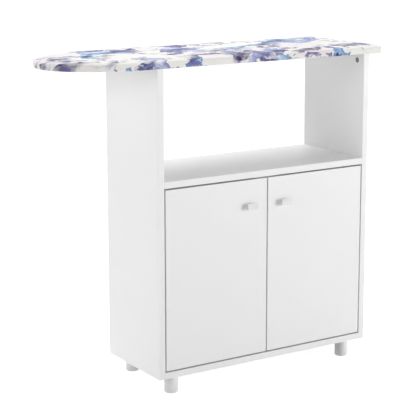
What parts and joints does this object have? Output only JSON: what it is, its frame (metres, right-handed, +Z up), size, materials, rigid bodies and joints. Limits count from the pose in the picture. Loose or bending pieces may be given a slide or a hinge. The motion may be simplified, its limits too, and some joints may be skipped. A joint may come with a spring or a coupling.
{
  "type": "ironing board cabinet",
  "caption": "Padded ironing board with a rounded nose on a white cabinet with an open bay, a counter and a cupboard with two inset doors on round feet.",
  "frame": {"origin": "on the floor, below the middle of the bounding box", "axes": "+X along the board from its rounded nose to its straight end, +Y from the doors to the back, +Z up"},
  "size_m": [0.998, 0.348, 0.9042],
  "materials": {
    "white_board": "satin white melamine-faced board",
    "hardboard": "white-faced hardboard",
    "beech": "fluted beech",
    "nickel": "nickel-plated steel",
    "steel": "bright steel",
    "zinc": "dull die-cast zinc",
    "grey_plastic": "satin light grey plastic",
    "knob_white": "satin white",
    "bumper_rubber": "soft clear grey",
    "foam": "cream felt and foam",
    "printed_cotton": "cream cotton with watercolour blots in blue, violet and grey"
  },
  "bodies": {
    "carcass": {"left_side_panel": "white_board", "right_side_panel": "white_board", "bottom_panel": "white_board", "counter_shelf": "white_board", "inner_shelf": "white_board", "back_panel": "hardboard", "back_nails": "steel", "shelf_pins": "nickel", "cam_locks": "zinc", "cam_bolts": "nickel", "dowels": "beech", "front_left_foot": "grey_plastic", "front_right_foot": "grey_plastic", "rear_left_foot": "grey_plastic", "rear_right_foot": "grey_plastic", "foot_studs": "nickel", "board_core": "white_board", "board_pad": "foam", "board_cover": "printed_cotton", "door_stop": "white_board", "stop_screws": "nickel", "door_bumpers": "bumper_rubber", "upper_left_hinge_plate": "nickel", "upper_left_hinge_arm": "nickel", "lower_left_hinge_plate": "nickel", "lower_left_hinge_arm": "nickel", "upper_right_hinge_plate": "nickel", "upper_right_hinge_arm": "nickel", "lower_right_hinge_plate": "nickel", "lower_right_hinge_arm": "nickel", "hinge_plate_screws": "nickel", "hinge_arm_screws": "nickel"},
    "left_door": {"left_door_panel": "white_board", "left_knob": "knob_white", "left_knob_screw": "nickel", "upper_left_hinge_cup": "nickel", "upper_left_hinge_pin": "nickel", "lower_left_hinge_cup": "nickel", "lower_left_hinge_pin": "nickel", "left_cup_screws": "nickel"},
    "right_door": {"right_door_panel": "white_board", "right_knob": "knob_white", "right_knob_screw": "nickel", "upper_right_hinge_cup": "nickel", "upper_right_hinge_pin": "nickel", "lower_right_hinge_cup": "nickel", "lower_right_hinge_pin": "nickel", "right_cup_screws": "nickel"}
  },
  "joints": [
    {"name": "left_door_hinge", "type": "hinge", "parent": "carcass", "child": "left_door", "pos_m": [-0.209, -0.1529, 0.318], "axis": [0, 0, -1], "range_deg": [0, 100]},
    {"name": "right_door_hinge", "type": "hinge", "parent": "carcass", "child": "right_door", "pos_m": [0.409, -0.1529, 0.318], "axis": [0, 0, 1], "range_deg": [0, 100]}
  ]
}
